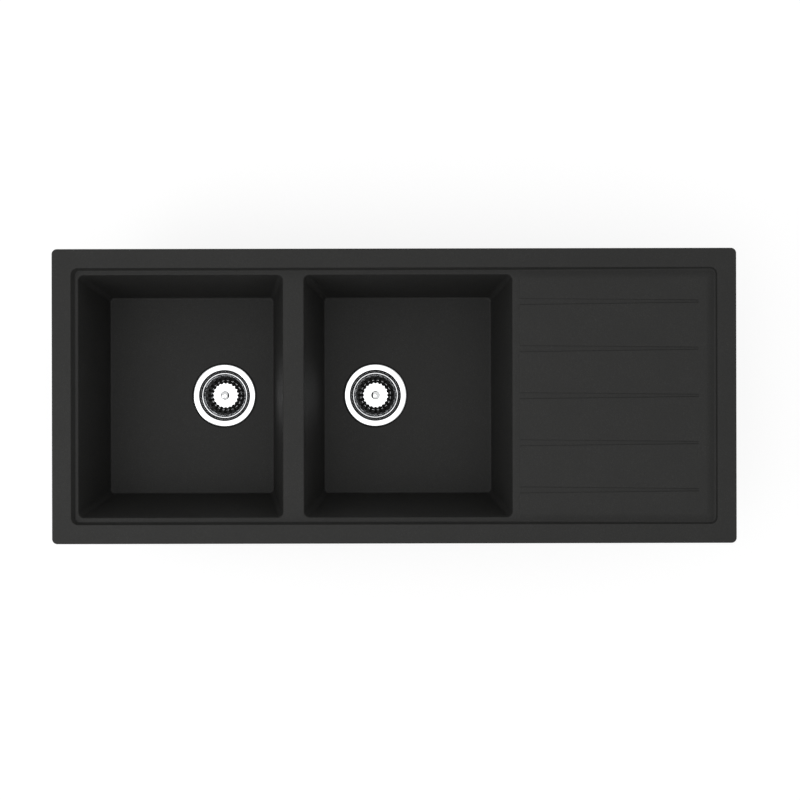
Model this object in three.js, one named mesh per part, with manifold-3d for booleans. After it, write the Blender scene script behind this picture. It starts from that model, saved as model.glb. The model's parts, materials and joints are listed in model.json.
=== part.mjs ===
// Inset double bowl kitchen sink with a drainer, two basket wastes and its fixing clips.
// Millimetres. The origin is the middle of the worktop cut-out, in the plane of the worktop's
// top, which is the underside of the rim. +X points to the drainer, +Y to the back, +Z up.
import * as THREE from 'three';
import { mergeVertices } from 'three/addons/utils/BufferGeometryUtils.js';
import Module from 'manifold-3d';

const wasm = await Module();
wasm.setup();

// ---- The casting: rim, recess, bowls
const sinkLength = 1160;
const sinkWidth = 500;
const sinkHeight = 200; // rim top to the bowls' underside
const rimThickness = 9;
const rimWidth = 32.5;
const rimCornerRadius = 9;
const rimEdgeRadius = 3;
const worktopLap = 10; // how far the rim lies on the worktop all round
const cutoutClearance = 3; // between the cut-out's edge and the casting below the rim
const recessDepth = 12;
const recessDraft = 4.5;
const recessCornerRadius = 12;
const deckThickness = 9;
const wallThickness = 9;
const floorThickness = 10;
const leftBowlLength = 347;
const rightBowlLength = 353.5;
const bowlMargin = 6.5; // from the foot of the recess wall to the left bowl
const bowlSideMargin = 7.25; // and to the front and back of both bowls
const dividerWidth = 36.5;
const bowlLipRadius = 2.5;
const bowlCornerRadius = 9;
const bowlFootCornerRadius = 6;
const bowlFloorFillet = 4;
const bowlBottomEdgeRadius = 12; // outside, under the floor
const bowlInsetX = 29.75; // the floor's edge from the opening's edge, each side
const bowlInsetY = 33.5;

// ---- The drainer: a panel that rises to the right, with tapered grooves
const drainerMargin = 11; // from the right bowl to the panel
const panelStartStep = 1.4; // above the recess floor
const panelEndDepth = 4; // below the rim top
const grooveCount = 5;
const groovePitch = 80;
const grooveStartWidth = 10.5;
const grooveEndWidth = 4;
const grooveFloorStep = 0.2; // its mouth above the recess floor
const grooveEndDepth = 1.6;
const grooveLength = 307;

// ---- The waste openings and the pressed steel flange
const drainOffset = 58; // from each bowl's middle towards the divider
const drainHoleRadius = 45;
const seatRadius = 58.2;
const seatDepth = 2.5;
const steelThickness = 1.2;
const flangeRadius = 57;
const flangeStand = 0.8; // its top above the bowl floor
const flangeLipDrop = 2;
const throatRadius = 42.6;
const throatEdgeRadius = 3;
const cupDepth = 32;
const cupDraft = 1.1;
const cupCornerRadius = 5;
const outletSlotCount = 6;
const outletSlotWidth = 8;
const outletSlotStart = 15;
const outletSlotEnd = 28;

// ---- Under the bowl: gaskets, housing, clamp screw and coupling
const gasketInnerRadius = 46.5;
const gasketOuterRadius = 54;
const underGasketThickness = 3;
const housingFlangeRadius = 52.5;
const housingFlangeThickness = 4;
const housingWall = 3;
const housingInnerRadius = 45.4;
const housingDepth = 26; // straight wall below its flange
const housingConeDrop = 15;
const outletInnerRadius = 20.4;
const outletWall = 3.5;
const outletLength = 20;
const spiderArmCount = 3;
const spiderArmThickness = 3;
const spiderArmRaise = 2; // from the hub's foot
const spiderHubRadius = 12;
const spiderHubLength = 14;
const spiderGap = 2.3; // below the cup
const screwRadius = 6;
const screwBoreRadius = 4;
const screwBoreDepth = 19;
const screwLength = 19;
const screwHeadRadius = 10;
const screwHeadHeight = 3;
const screwSocketRadius = 6.2;
const screwSocketDepth = 2;
const insertRadius = 8.5;
const insertLength = 10;
const sealThickness = 4;
const sealInnerRadius = 19.9;
const couplingRadius = 29;
const couplingRibCount = 10;
const couplingRibHeight = 2;
const couplingRibWidth = 5;
const couplingLipThickness = 4;
const couplingLipRadius = 20.9;
const couplingGrip = 16; // how far it goes up round the outlet

// ---- The strainer basket with its stem and stopper
const basketSheet = 1;
const beadOuterRadius = 41;
const beadWidth = 3;
const beadHeight = 1.6;
const beadDrop = 2.5; // below the bowl floor
const basketDepth = 18; // bead top to plate top
const plateRadius = 22.5;
const basketSlope = { radius: 36, rise: 8.6 }; // where the sloping side ends, over the plate
const basketWallRise = 11.6; // where the upright wall starts
const strainerSlotCount = 20;
const strainerSlotWidth = 4.8;
const strainerSlotStart = 22.9;
const strainerSlotEnd = 36.4;
const knobRadius = 7.8;
const knobTopRadius = 6.4;
const knobHeight = 14;
const stemRadius = 3;
const stemGripLength = 7.5; // inside the knob
const stemLength = 32;
const stopperRadius = 33;
const stopperHubRadius = 9;
const stopperHubHeight = 5.5;
const stopperLipWidth = 3.5;
const stopperSheet = 3;
const stopperEdge = 1; // the thickness of its outer edge
const stemWasherRadius = 7;
const stemWasherThickness = 1;
const gripRingRadius = 0.7; // of its section
const gripRingDrop = 17; // from the plate's underside

// ---- Fixing clips
const clipsPerSide = 3; // along the front and the back, and one at each end
const clipPitch = 380;
const worktopThickness = 38;
const bossRadius = 8;
const bossLength = 17;
const bossInset = 10.5; // from the casting's edge below the rim
const clipInsertRadius = 4.2;
const clipInsertLength = 12;
const clipScrewRadius = 2.5;
const clipScrewHeadRadius = 4.6;
const clipScrewHeadHeight = 3;
const clipArmWidth = 16;
const clipArmThickness = 2.5;
const clipArmRise = 12; // from the arm's top to the pad's top
const clipArmLength = 22; // from the screw to the riser's far face
const clipPadLength = 14;

// ---- Clearances
const fit = 0.3; // between separate pieces
const overrun = 1; // how far a cutter runs past the face it opens, or a join runs in

// ---- How finely round shapes are faceted
const cornerSteps = 4;
const wasteSides = 32;
const housingSides = 24;
const smallSides = 16;
const fastenerSides = 10;
const gripRingSides = 6; // round its section

// ---- Worked out from the sizes above
const recessFloor = rimThickness - recessDepth;
const deckBottom = recessFloor - deckThickness;
const bowlBottom = rimThickness - sinkHeight;
const bowlFloor = bowlBottom + floorThickness;
const castingLength = sinkLength - 2 * (worktopLap + cutoutClearance);
const castingWidth = sinkWidth - 2 * (worktopLap + cutoutClearance);
const recessLength = sinkLength - 2 * rimWidth;
const recessWidth = sinkWidth - 2 * rimWidth;
const bowlWidth = recessWidth - 2 * (recessDraft + bowlSideMargin);
const leftBowlX = -recessLength / 2 + recessDraft + bowlMargin + leftBowlLength / 2;
const rightBowlX = leftBowlX + (leftBowlLength + rightBowlLength) / 2 + dividerWidth;
const panelStartX = rightBowlX + rightBowlLength / 2 + drainerMargin;
const panelStartZ = recessFloor + panelStartStep;
const panelEndZ = rimThickness - panelEndDepth;
const bowls = [
  { name: 'left', x: leftBowlX, length: leftBowlLength, drainX: leftBowlX + drainOffset },
  { name: 'right', x: rightBowlX, length: rightBowlLength, drainX: rightBowlX - drainOffset },
];
const bossX = castingLength / 2 - bossInset;
const bossY = castingWidth / 2 - bossInset;
const clips = [
  ...clipRow('clip_front', -bossY),
  ...clipRow('clip_back', bossY),
  { name: 'clip_left', x: -bossX, y: 0, parked: Math.PI / 2 },
  { name: 'clip_right', x: bossX, y: 0, parked: -Math.PI / 2 },
];

function clipRow(name, y) {
  return Array.from({ length: clipsPerSide }, (_, i) => (
    { name: `${name}_${i + 1}`, x: (i - (clipsPerSide - 1) / 2) * clipPitch, y, parked: 0 }
  ));
}

// ---- Materials
const composite = finish(0x383837, 0.75, 0);
const polishedSteel = finish(0xd9dadb, 0.12, 1);
const zincSteel = finish(0xb9bcc0, 0.4, 1);
const brass = finish(0xb8965a, 0.35, 1);
const blackPlastic = finish(0x1d1e20, 0.55, 0);
const blackRubber = finish(0x151515, 0.85, 0);

function finish(color, roughness, metalness) {
  return new THREE.MeshStandardMaterial({ color, roughness, metalness });
}

// ---- Solids

// Merges the shared points, drops the triangles that have no area and turns the faces outwards.
function closed(geometry) {
  geometry.deleteAttribute('normal');
  geometry.deleteAttribute('uv');
  const merged = mergeVertices(geometry, 1e-4);
  const corner = (i) => new THREE.Vector3().fromBufferAttribute(merged.attributes.position, i);
  const triangles = [];
  let volume = 0;
  for (let i = 0; i < merged.index.count; i += 3) {
    const [a, b, c] = [0, 1, 2].map((k) => merged.index.getX(i + k));
    if (a === b || b === c || c === a) continue;
    triangles.push([a, b, c]);
    volume += corner(a).dot(corner(b).cross(corner(c)));
  }
  merged.setIndex(triangles.flatMap((t) => (volume < 0 ? t.reverse() : t)));
  return merged;
}

function solid(geometry) {
  const merged = closed(geometry);
  return new wasm.Manifold(new wasm.Mesh({
    numProp: 3,
    vertProperties: merged.attributes.position.array,
    triVerts: new Uint32Array(merged.index.array),
  }));
}

function geometryOf(manifold) {
  const mesh = manifold.getMesh();
  const geometry = new THREE.BufferGeometry();
  geometry.setAttribute('position', new THREE.BufferAttribute(mesh.vertProperties, 3));
  geometry.setIndex(new THREE.BufferAttribute(mesh.triVerts, 1));
  return geometry;
}

// A profile of [radius, height] points turned about the vertical axis.
// A hollow profile closes on itself, and one on the axis starts and ends there.
function turned(points, sides) {
  const onAxis = points[0][0] === 0 && points.at(-1)[0] === 0;
  const loop = onAxis ? points : [...points, points[0]];
  const profile = loop.map(([radius, height]) => new THREE.Vector2(radius, height));
  return closed(new THREE.LatheGeometry(profile, sides).rotateX(Math.PI / 2));
}

// A plain turned body between two heights, with a bore if the inner radius isn't 0.
function ring(outerRadius, innerRadius, low, high, sides) {
  return turned([[innerRadius, low], [outerRadius, low], [outerRadius, high], [innerRadius, high]], sides);
}

// A quarter round in a profile: radius and height offsets from its centre.
function arc(centre, radius, from, to, steps) {
  return Array.from({ length: steps + 1 }, (_, i) => {
    const angle = THREE.MathUtils.degToRad(from + ((to - from) * i) / steps);
    return [centre[0] + radius * Math.cos(angle), centre[1] + radius * Math.sin(angle)];
  });
}

// The far face of a sheet whose near face is this line, to the right of its way.
function farFace(line, thickness) {
  const points = line.map(([radius, height]) => new THREE.Vector2(radius, height));
  const sideways = points.slice(1).map((point, i) => {
    const along = point.clone().sub(points[i]).normalize();
    return new THREE.Vector2(along.y, -along.x);
  });
  return points.map((point, i) => {
    const before = sideways[Math.max(i - 1, 0)];
    const after = sideways[Math.min(i, sideways.length - 1)];
    const step = before.clone().add(after).multiplyScalar(thickness / (1 + before.dot(after)));
    return point.clone().add(step).toArray();
  });
}

function block(from, to) {
  const size = to.map((value, i) => value - from[i]);
  const middle = to.map((value, i) => (value + from[i]) / 2);
  return new THREE.BoxGeometry(...size).translate(...middle);
}

// An outline in the XZ plane, given a thickness across Y.
function plate(outline, width) {
  const shape = new THREE.Shape(outline.map(([x, z]) => new THREE.Vector2(x, z)));
  return new THREE.ExtrudeGeometry(shape, { depth: width, bevelEnabled: false })
    .translate(0, 0, -width / 2)
    .rotateX(Math.PI / 2);
}

// A closed body through a stack of level rounded rectangles.
function loft(levels, cornerSteps) {
  const rings = levels.map(({ x = 0, length, width, radius, z }) => {
    const corners = [[1, 1], [-1, 1], [-1, -1], [1, -1]];
    return corners.flatMap(([sx, sy], quarter) => Array.from({ length: cornerSteps + 1 }, (_, i) => {
      const angle = (quarter + i / cornerSteps) * Math.PI / 2;
      const cornerX = x + sx * (length / 2 - radius);
      const cornerY = sy * (width / 2 - radius);
      return [cornerX + radius * Math.cos(angle), cornerY + radius * Math.sin(angle), z];
    }));
  });
  const sides = rings[0].length;
  const index = [];
  for (let i = 1; i < sides - 1; i++) {
    const top = (rings.length - 1) * sides;
    index.push(0, i + 1, i, top, top + i, top + i + 1);
  }
  for (let level = 0; level < rings.length - 1; level++) {
    for (let i = 0; i < sides; i++) {
      const low = level * sides + i;
      const lowNext = level * sides + ((i + 1) % sides);
      index.push(low, lowNext, lowNext + sides, low, lowNext + sides, low + sides);
    }
  }
  const geometry = new THREE.BufferGeometry();
  geometry.setAttribute('position', new THREE.Float32BufferAttribute(rings.flat(2), 3));
  geometry.setIndex(index);
  return geometry;
}

// ---- The casting

// A level of a bowl: inset 0 is the opening's edge and 1 the floor's edge.
function bowlLevel(bowl, inset, z, grow = 0) {
  const corner = THREE.MathUtils.lerp(bowlCornerRadius, bowlFootCornerRadius, inset);
  return {
    x: bowl.x,
    length: bowl.length - 2 * inset * bowlInsetX + 2 * grow,
    width: bowlWidth - 2 * inset * bowlInsetY + 2 * grow,
    radius: corner + grow,
    z,
  };
}

const meanInset = (bowlInsetX + bowlInsetY) / 2;
const footInset = 1 - bowlFloorFillet / meanInset; // where the wall starts, over the fillet

function bowlInside(bowl) {
  const foot = arc([0, bowlFloor + bowlFloorFillet], bowlFloorFillet, -90, -4, 2)
    .map(([out, z]) => bowlLevel(bowl, 1 - out / meanInset, z));
  const lip = arc([bowlLipRadius, recessFloor - bowlLipRadius], bowlLipRadius, 180, 90, 2)
    .map(([out, z]) => bowlLevel(bowl, -out / meanInset, z));
  const clear = { ...lip.at(-1), z: rimThickness + overrun };
  return solid(loft([...foot, ...lip, clear], cornerSteps));
}

function bowlOutside(bowl) {
  const r = bowlBottomEdgeRadius;
  const edge = arc([-r, bowlBottom + r], r, -90, 0, 2)
    .map(([out, z]) => bowlLevel(bowl, footInset, z, wallThickness + out));
  const top = bowlLevel(bowl, 0, recessFloor - bowlLipRadius, wallThickness);
  return solid(loft([...edge, top], cornerSteps));
}

function rimSlab() {
  const level = (inset, z) => ({
    length: sinkLength - 2 * inset,
    width: sinkWidth - 2 * inset,
    radius: rimCornerRadius - inset,
    z,
  });
  const edge = arc([-rimEdgeRadius, rimThickness - rimEdgeRadius], rimEdgeRadius, 0, 90, 2)
    .map(([out, z]) => level(-out, z));
  return solid(loft([level(0, 0), ...edge], cornerSteps));
}

function deckSlab() {
  const level = (z) => ({ length: castingLength, width: castingWidth, radius: rimCornerRadius, z });
  return solid(loft([level(deckBottom), level(rimThickness / 2)], cornerSteps));
}

function recess() {
  const level = (inset, z) => ({
    length: recessLength - 2 * inset,
    width: recessWidth - 2 * inset,
    radius: recessCornerRadius - inset,
    z,
  });
  const foot = level(recessDraft, recessFloor);
  const cut = solid(loft([foot, level(0, rimThickness), level(0, rimThickness + overrun)], cornerSteps));
  return cut.subtract(under([panelStartX, panelStartZ], [sinkLength / 2, panelZ(sinkLength / 2)]));
}

// The panel's height at a place along the sink.
function panelZ(x) {
  return panelStartZ + ((panelEndZ - panelStartZ) * (x - panelStartX)) / (recessLength / 2 - panelStartX);
}

// All that lies under a slope between two [x, z] points, across the sink.
function under(from, to) {
  return solid(plate([[from[0], deckBottom], [to[0], deckBottom], to, from], sinkWidth));
}

// A groove is open at the panel's edge, so that it drains onto the deck.
function groove(y) {
  const start = panelStartX - overrun;
  const end = panelStartX + grooveLength;
  const outline = new THREE.Shape([
    new THREE.Vector2(start, y - grooveStartWidth / 2),
    new THREE.Vector2(end, y - grooveEndWidth / 2),
    new THREE.Vector2(end, y + grooveEndWidth / 2),
    new THREE.Vector2(start, y + grooveStartWidth / 2),
  ]);
  const cut = new THREE.ExtrudeGeometry(outline, { depth: rimThickness - deckBottom, bevelEnabled: false });
  const floor = under([start, recessFloor + grooveFloorStep], [end, panelZ(end) - grooveEndDepth]);
  return solid(cut.translate(0, 0, deckBottom)).subtract(floor);
}

function sinkBody() {
  let body = rimSlab().add(deckSlab());
  for (const bowl of bowls) body = body.add(bowlOutside(bowl));
  for (const clip of clips) {
    const boss = ring(bossRadius, 0, deckBottom - bossLength, deckBottom + overrun, smallSides);
    body = body.add(solid(boss.translate(clip.x, clip.y, 0)));
  }
  body = body.subtract(recess());
  for (const bowl of bowls) {
    body = body.subtract(bowlInside(bowl));
    const seat = ring(seatRadius, 0, bowlFloor - seatDepth, bowlFloor + overrun, wasteSides);
    const hole = ring(drainHoleRadius, 0, bowlBottom - overrun, bowlFloor, wasteSides);
    body = body.subtract(solid(seat.translate(bowl.drainX, 0, 0)));
    body = body.subtract(solid(hole.translate(bowl.drainX, 0, 0)));
  }
  for (let i = 0; i < grooveCount; i++) {
    body = body.subtract(groove((i - (grooveCount - 1) / 2) * groovePitch));
  }
  for (const clip of clips) {
    const low = deckBottom - bossLength;
    const high = low + clipInsertLength + fit;
    const hole = ring(clipInsertRadius + fit, 0, low - overrun, high, fastenerSides);
    body = body.subtract(solid(hole.translate(clip.x, clip.y, 0)));
  }
  return geometryOf(body);
}

// ---- One waste, with its origin on the drain's axis in the bowl floor's plane

const cupBottom = -cupDepth - steelThickness;
const housingTop = -floorThickness - underGasketThickness;
const coneTop = housingTop - housingDepth;
const coneBottom = coneTop - housingConeDrop;
const outletEnd = coneBottom - outletLength;
const outletOuterRadius = outletInnerRadius + outletWall;
const plateTop = -beadDrop - basketDepth;
const plateBottom = plateTop - basketSheet;
const hubTop = cupBottom - spiderGap;
const hubBottom = hubTop - spiderHubLength;

function wasteFlange() {
  const t = steelThickness;
  const top = flangeStand;
  const edge = [throatRadius + throatEdgeRadius, top - throatEdgeRadius];
  const cupWall = throatRadius - cupDraft;
  const bend = [cupWall - cupCornerRadius, -cupDepth + cupCornerRadius];
  const screwHole = screwRadius + fit;
  const sheet = turned([
    [flangeRadius, top - flangeLipDrop],
    [flangeRadius, top - t],
    [flangeRadius - t, top],
    ...arc(edge, throatEdgeRadius, 90, 180, 2),
    ...arc(bend, cupCornerRadius, 0, -90, 2),
    [screwHole, -cupDepth],
    [screwHole, cupBottom],
    ...arc(bend, cupCornerRadius + t, -90, 0, 1),
    ...arc(edge, throatEdgeRadius - t, 180, 90, 1),
    [flangeRadius - t, top - t],
    [flangeRadius - t, top - flangeLipDrop],
  ], wasteSides);
  let cut = solid(sheet);
  for (let i = 0; i < outletSlotCount; i++) {
    const half = outletSlotWidth / 2;
    const low = [outletSlotStart, -half, cupBottom - overrun];
    const slot = block(low, [outletSlotEnd, half, overrun - cupDepth]);
    cut = cut.subtract(solid(slot.rotateZ((i / outletSlotCount) * 2 * Math.PI)));
  }
  return geometryOf(cut);
}

function flangeGasket() {
  const top = flangeStand - steelThickness;
  return ring(gasketOuterRadius, gasketInnerRadius, -seatDepth, top, housingSides);
}

function underGasket() {
  return ring(housingFlangeRadius, gasketInnerRadius, housingTop, -floorThickness, housingSides);
}

function wasteHousing() {
  const wall = housingWall;
  const outer = [
    [housingFlangeRadius, housingTop],
    [housingFlangeRadius, housingTop - housingFlangeThickness],
    [housingInnerRadius + wall, housingTop - housingFlangeThickness],
    [housingInnerRadius + wall, coneTop],
    [outletOuterRadius, coneBottom],
    [outletOuterRadius, outletEnd],
  ];
  const inner = [
    [outletInnerRadius, outletEnd],
    [outletInnerRadius, coneBottom + wall],
    [housingInnerRadius, coneTop + wall],
    [housingInnerRadius, housingTop],
  ];
  const filled = solid(turned([[0, housingTop], ...outer, [0, outletEnd]], housingSides));
  let spider = solid(ring(spiderHubRadius, 0, hubBottom, hubTop, smallSides));
  for (let i = 0; i < spiderArmCount; i++) {
    const half = spiderArmThickness / 2;
    const low = [0, -half, hubBottom + spiderArmRaise];
    const arm = block(low, [housingInnerRadius + wall, half, hubTop]);
    spider = spider.add(solid(arm.rotateZ(((i + 0.5) / spiderArmCount) * 2 * Math.PI)));
  }
  spider = spider.intersect(filled);
  const insertTop = hubBottom + insertLength + fit;
  const insertHole = ring(insertRadius + fit, 0, hubBottom - overrun, insertTop, smallSides);
  const screwHole = ring(screwRadius + fit, 0, hubBottom, hubTop + overrun, smallSides);
  spider = spider.subtract(solid(insertHole)).subtract(solid(screwHole));
  return geometryOf(solid(turned([...outer, ...inner], housingSides)).add(spider));
}

function clampScrew() {
  const head = screwHeadHeight - cupDepth;
  const body = solid(turned([
    [0, -cupDepth - screwLength],
    [screwRadius, -cupDepth - screwLength],
    [screwRadius, -cupDepth],
    [screwHeadRadius, -cupDepth],
    [screwHeadRadius, head],
    [0, head],
  ], smallSides));
  const bore = ring(screwBoreRadius, 0, head - screwBoreDepth, head + overrun, smallSides);
  const socket = ring(screwSocketRadius, 0, head - screwSocketDepth, head + overrun, 6);
  return geometryOf(body.subtract(solid(bore)).subtract(solid(socket)));
}

function screwInsert() {
  return ring(insertRadius, screwRadius + fit, hubBottom, hubBottom + insertLength, smallSides);
}

function outletSeal() {
  const low = outletEnd - sealThickness;
  return ring(outletOuterRadius - fit, sealInnerRadius, low, outletEnd, housingSides);
}

function outletCoupling() {
  const lipTop = outletEnd - sealThickness;
  const low = lipTop - couplingLipThickness;
  const high = outletEnd + couplingGrip;
  const inside = outletOuterRadius + fit;
  let nut = solid(turned([
    [couplingLipRadius, low],
    [couplingRadius, low],
    [couplingRadius, high],
    [inside, high],
    [inside, lipTop],
    [couplingLipRadius, lipTop],
  ], housingSides));
  for (let i = 0; i < couplingRibCount; i++) {
    const half = couplingRibWidth / 2;
    const start = [couplingRadius - overrun, -half, low];
    const rib = block(start, [couplingRadius + couplingRibHeight, half, high]);
    nut = nut.add(solid(rib.rotateZ((i / couplingRibCount) * 2 * Math.PI)));
  }
  return geometryOf(nut);
}

function strainerBasket() {
  const beadTop = -beadDrop;
  const beadInner = beadOuterRadius - beadWidth;
  const inside = [
    [stemRadius + fit, plateTop],
    [plateRadius, plateTop],
    [basketSlope.radius, plateTop + basketSlope.rise],
    [beadInner, plateTop + basketWallRise],
    [beadInner, beadTop - beadHeight],
  ];
  const sheet = turned([
    ...inside,
    [beadInner + beadWidth / 4, beadTop],
    [beadOuterRadius - beadWidth / 4, beadTop],
    [beadOuterRadius, beadTop - beadHeight],
    ...farFace(inside, basketSheet).reverse(),
  ], 2 * strainerSlotCount);
  let cut = solid(sheet);
  for (let i = 0; i < strainerSlotCount; i++) {
    const half = strainerSlotWidth / 2;
    const low = [strainerSlotStart, -half, plateBottom - overrun];
    const slot = block(low, [strainerSlotEnd, half, beadTop]);
    cut = cut.subtract(solid(slot.rotateZ((i / strainerSlotCount) * 2 * Math.PI)));
  }
  return geometryOf(cut);
}

function basketKnob() {
  const hole = stemRadius + fit;
  const top = plateTop + knobHeight;
  const holeTop = plateTop + stemGripLength + fit;
  const shoulder = knobRadius - knobTopRadius;
  return turned([
    [0, holeTop],
    [hole, holeTop],
    [hole, plateTop],
    [knobRadius, plateTop],
    ...arc([knobTopRadius, top - shoulder], shoulder, 0, 90, 2),
    [0, top],
  ], housingSides);
}

const gripRingZ = plateBottom - gripRingDrop;
const gripRingCentre = screwBoreRadius - gripRingRadius - fit / 2;

function basketStem() {
  const top = plateTop + stemGripLength;
  const waist = gripRingCentre - gripRingRadius - fit;
  const half = gripRingRadius + fit;
  return turned([
    [0, top - stemLength],
    [stemRadius, top - stemLength],
    [stemRadius, gripRingZ - half],
    [waist, gripRingZ - half],
    [waist, gripRingZ + half],
    [stemRadius, gripRingZ + half],
    [stemRadius, top],
    [0, top],
  ], smallSides);
}

function gripRing() {
  const last = 360 * (1 - 1 / gripRingSides);
  const section = arc([gripRingCentre, gripRingZ], gripRingRadius, 0, last, gripRingSides - 1);
  return turned(section, smallSides);
}

function basketStopper() {
  const bottom = fit - cupDepth;
  const hubBottomZ = plateBottom - stopperHubHeight;
  return turned([
    [stemRadius + fit, hubBottomZ],
    [screwHeadRadius + overrun, hubBottomZ],
    [stopperRadius - stopperLipWidth, bottom],
    [stopperRadius, bottom],
    [stopperRadius, bottom + stopperEdge],
    [stopperHubRadius, hubBottomZ + stopperSheet],
    [stopperHubRadius, plateBottom],
    [stemRadius + fit, plateBottom],
  ], housingSides);
}

function stemWasher() {
  const top = plateBottom - stopperHubHeight;
  return ring(stemWasherRadius, stemRadius + fit / 2, top - stemWasherThickness, top, smallSides);
}

// ---- One clip, with its origin on the screw's axis in the plane of the worktop's top

const padTop = -worktopThickness;
const armTop = padTop - clipArmRise;
const armBottom = armTop - clipArmThickness;

function clipArm() {
  const t = clipArmThickness;
  const section = plate([
    [-clipArmWidth / 2, armBottom],
    [clipArmLength, armBottom],
    [clipArmLength, padTop - t],
    [clipArmLength + clipPadLength, padTop - t],
    [clipArmLength + clipPadLength, padTop],
    [clipArmLength - t, padTop],
    [clipArmLength - t, armTop],
    [-clipArmWidth / 2, armTop],
  ], clipArmWidth);
  const hole = ring(clipScrewRadius + fit, 0, armBottom - overrun, armTop + overrun, fastenerSides);
  return geometryOf(solid(section).subtract(solid(hole)));
}

function clipScrew() {
  const shankTop = deckBottom - bossLength + clipInsertLength - fit;
  const shankLow = armBottom - fit;
  const shank = solid(ring(clipScrewRadius, 0, shankLow - overrun, shankTop, fastenerSides));
  const head = ring(clipScrewHeadRadius, 0, shankLow - clipScrewHeadHeight, shankLow, 6);
  return geometryOf(shank.add(solid(head)));
}

function clipInsert() {
  const low = deckBottom - bossLength;
  return ring(clipInsertRadius, clipScrewRadius + fit, low, low + clipInsertLength, fastenerSides);
}

// ---- The assembly

function mesh(name, geometry, material) {
  const piece = new THREE.Mesh(geometry, material);
  piece.name = name;
  return piece;
}

function waste(bowl) {
  const group = new THREE.Group();
  const add = (name, geometry, material) => group.add(mesh(`${bowl.name}_${name}`, geometry, material));
  add('waste_flange', wasteFlange(), polishedSteel);
  add('flange_gasket', flangeGasket(), blackRubber);
  add('under_gasket', underGasket(), blackRubber);
  add('waste_housing', wasteHousing(), blackPlastic);
  add('clamp_screw', clampScrew(), polishedSteel);
  add('screw_insert', screwInsert(), brass);
  add('outlet_seal', outletSeal(), blackRubber);
  add('outlet_coupling', outletCoupling(), blackPlastic);
  add('basket', strainerBasket(), polishedSteel);
  add('basket_knob', basketKnob(), polishedSteel);
  add('basket_stem', basketStem(), polishedSteel);
  add('basket_stopper', basketStopper(), blackRubber);
  add('stem_washer', stemWasher(), polishedSteel);
  add('stem_grip_ring', gripRing(), blackRubber);
  group.position.set(bowl.drainX, 0, bowlFloor);
  return group;
}

function clip(place) {
  const group = new THREE.Group();
  const arm = mesh(`${place.name}_arm`, clipArm(), zincSteel);
  arm.rotation.z = place.parked;
  group.add(arm);
  group.add(mesh(`${place.name}_screw`, clipScrew(), zincSteel));
  group.add(mesh(`${place.name}_insert`, clipInsert(), brass));
  group.position.set(place.x, place.y, 0);
  return group;
}

const sink = new THREE.Group();
sink.add(mesh('sink_body', sinkBody(), composite));
for (const bowl of bowls) sink.add(waste(bowl));
for (const place of clips) sink.add(clip(place));

export default sink;
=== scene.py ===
import json
import math

import bmesh
import bpy
from mathutils import Matrix, Vector


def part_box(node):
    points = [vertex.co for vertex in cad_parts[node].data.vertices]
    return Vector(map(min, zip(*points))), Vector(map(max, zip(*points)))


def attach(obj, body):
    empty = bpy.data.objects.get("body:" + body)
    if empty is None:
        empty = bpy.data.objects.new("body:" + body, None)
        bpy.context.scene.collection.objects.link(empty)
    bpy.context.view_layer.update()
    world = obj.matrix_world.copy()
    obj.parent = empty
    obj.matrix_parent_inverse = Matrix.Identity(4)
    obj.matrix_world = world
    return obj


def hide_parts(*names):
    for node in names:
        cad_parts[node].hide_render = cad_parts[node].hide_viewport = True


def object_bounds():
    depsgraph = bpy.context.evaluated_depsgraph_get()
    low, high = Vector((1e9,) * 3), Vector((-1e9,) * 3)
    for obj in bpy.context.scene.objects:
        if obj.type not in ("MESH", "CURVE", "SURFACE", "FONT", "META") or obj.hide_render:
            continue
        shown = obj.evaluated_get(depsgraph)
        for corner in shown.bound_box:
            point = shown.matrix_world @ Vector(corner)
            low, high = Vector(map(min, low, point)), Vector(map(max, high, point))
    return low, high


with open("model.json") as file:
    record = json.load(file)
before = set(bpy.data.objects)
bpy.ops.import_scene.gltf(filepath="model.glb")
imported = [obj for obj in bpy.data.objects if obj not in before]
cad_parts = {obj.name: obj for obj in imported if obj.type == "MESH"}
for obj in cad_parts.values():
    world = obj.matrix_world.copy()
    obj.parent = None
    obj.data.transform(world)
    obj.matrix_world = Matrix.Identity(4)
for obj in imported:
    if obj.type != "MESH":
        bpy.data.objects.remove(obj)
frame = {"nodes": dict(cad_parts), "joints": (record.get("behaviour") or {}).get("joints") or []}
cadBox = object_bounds()
mm = 0.001
scene = bpy.context.scene
sides = ("left", "right")
clipJoints = [joint for joint in frame["joints"] if joint["name"].endswith("_swivel")]
print("frame loaded,", len(frame["nodes"]), "nodes")


# Pieces are modelled in millimetres and brought to metres when they are finished.
def cadSize(node):
    low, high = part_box(node)
    return low / mm, high / mm


# Helpers for materials. Sizes of patterns are in millimetres.

def linear(hexColour):  # sRGB hex to a linear colour
    parts = [int(hexColour[i:i + 2], 16) / 255 for i in (1, 3, 5)]
    return [c / 12.92 if c <= 0.04045 else ((c + 0.055) / 1.055) ** 2.4 for c in parts] + [1]


def addNode(tree, kind, inputs=None, **settings):
    made = tree.nodes.new(kind)
    for name, value in settings.items():
        setattr(made, name, value)
    for socket, value in (inputs or {}).items():
        if isinstance(value, bpy.types.NodeSocket):
            tree.links.new(value, made.inputs[socket])
        else:
            made.inputs[socket].default_value = value
    return made


def startMaterial(name, settings):
    finish = bpy.data.materials.new(name)
    finish.use_nodes = True
    tree = finish.node_tree
    shader = tree.nodes["Principled BSDF"]
    for socket, value in settings.items():
        shader.inputs[socket].default_value = value
    return finish, tree, shader, addNode(tree, "ShaderNodeTexCoord").outputs["Object"]


noiseSpan = {"From Min": 0.3, "From Max": 0.7}  # a noise texture seldom leaves it


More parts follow.
